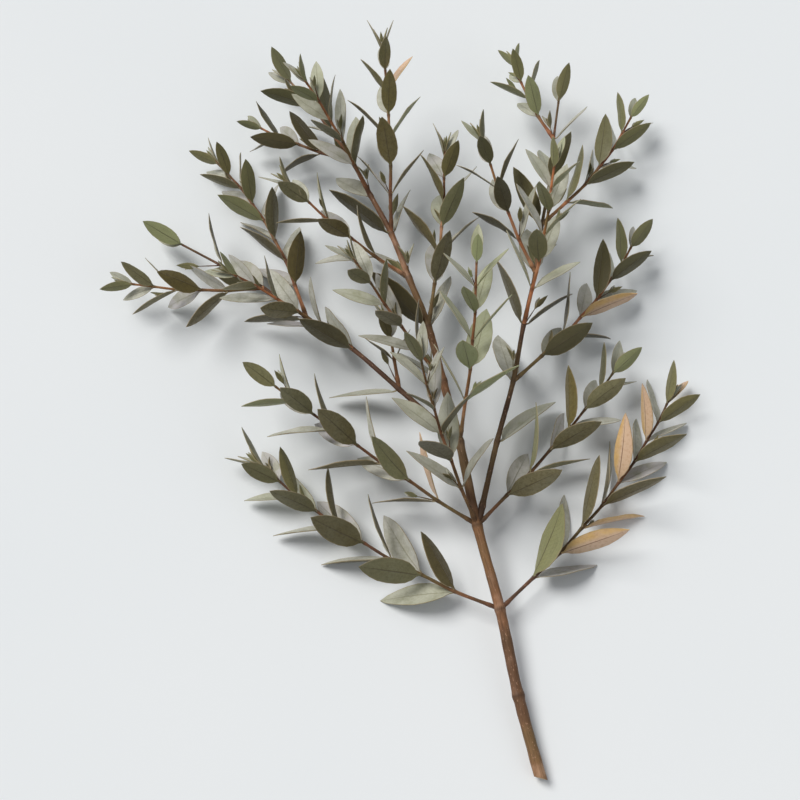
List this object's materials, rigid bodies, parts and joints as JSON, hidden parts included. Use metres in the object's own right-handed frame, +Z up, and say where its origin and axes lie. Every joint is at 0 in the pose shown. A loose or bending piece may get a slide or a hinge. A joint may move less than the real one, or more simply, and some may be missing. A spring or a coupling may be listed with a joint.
{
  "type": "eucalyptus branch",
  "caption": "Cut eucalyptus branch lying on a surface: a forked woody stem, thin side shoots and opposite pairs of small pointed grey-green leaves.",
  "frame": {"origin": "middle of the branch's outline, on the surface that it lies on", "axes": "+Y along the branch from its cut end to its tips, +X across it, +Z up from the surface"},
  "size_m": [0.3126, 0.3982, 0.0973],
  "materials": {
    "bark": "smooth reddish-brown bark, matt",
    "leaf": "matt olive-brown above, silvery grey beneath",
    "leafy_shoot": "thin reddish twig with matt olive leaves"
  },
  "bodies": {
    "root": {"fork_top_shoot": "leafy_shoot", "leader_shoot_1": "leafy_shoot", "leader_shoot_2": "leafy_shoot", "leader_shoot_3": "leafy_shoot", "leader_shoot_4": "leafy_shoot", "leader_shoot_5": "leafy_shoot", "leader_top_shoot": "leafy_shoot", "left_fork": "bark", "left_fork_leaf_1b": "leaf", "left_fork_leaf_2a": "leaf", "left_fork_leaf_2b": "leaf", "left_fork_leaf_3a": "leaf", "left_fork_leaf_4a": "leaf", "left_fork_leaf_4b": "leaf", "left_fork_leaf_5a": "leaf", "left_fork_leaf_6a": "leaf", "left_fork_leaf_6b": "leaf", "left_shoot_1": "leafy_shoot", "left_shoot_2": "leafy_shoot", "left_shoot_3": "leafy_shoot", "left_top_shoot": "leafy_shoot", "low_left_shoot": "leafy_shoot", "low_right_shoot": "leafy_shoot", "main_stem": "bark", "main_stem_leaf_1b": "leaf", "main_stem_leaf_2a": "leaf", "main_stem_leaf_2b": "leaf", "main_stem_leaf_3a": "leaf", "main_stem_leaf_4a": "leaf", "main_stem_leaf_4b": "leaf", "main_stem_leaf_5b": "leaf", "main_stem_leaf_6b": "leaf", "main_stem_leaf_7a": "leaf", "main_stem_leaf_7b": "leaf", "main_stem_leaf_8a": "leaf", "main_stem_leaf_8b": "leaf", "main_stem_leaf_9a": "leaf", "main_stem_leaf_9b": "leaf", "mid_left_shoot": "leafy_shoot", "mid_right_shoot": "leafy_shoot", "mid_top_shoot": "leafy_shoot", "right_fork": "bark", "right_fork_leaf_1a": "leaf", "right_fork_leaf_2b": "leaf", "right_fork_leaf_3a": "leaf", "right_fork_leaf_3b": "leaf", "right_fork_leaf_4a": "leaf", "right_fork_leaf_5b": "leaf", "right_fork_leaf_6a": "leaf", "right_fork_leaf_6b": "leaf", "right_fork_leaf_7b": "leaf", "right_fork_leaf_8a": "leaf", "right_fork_leaf_8b": "leaf", "right_shoot_1": "leafy_shoot", "right_shoot_2": "leafy_shoot", "right_shoot_3": "leafy_shoot", "right_shoot_4": "leafy_shoot", "right_top_shoot": "leafy_shoot"}
  },
  "joints": []
}
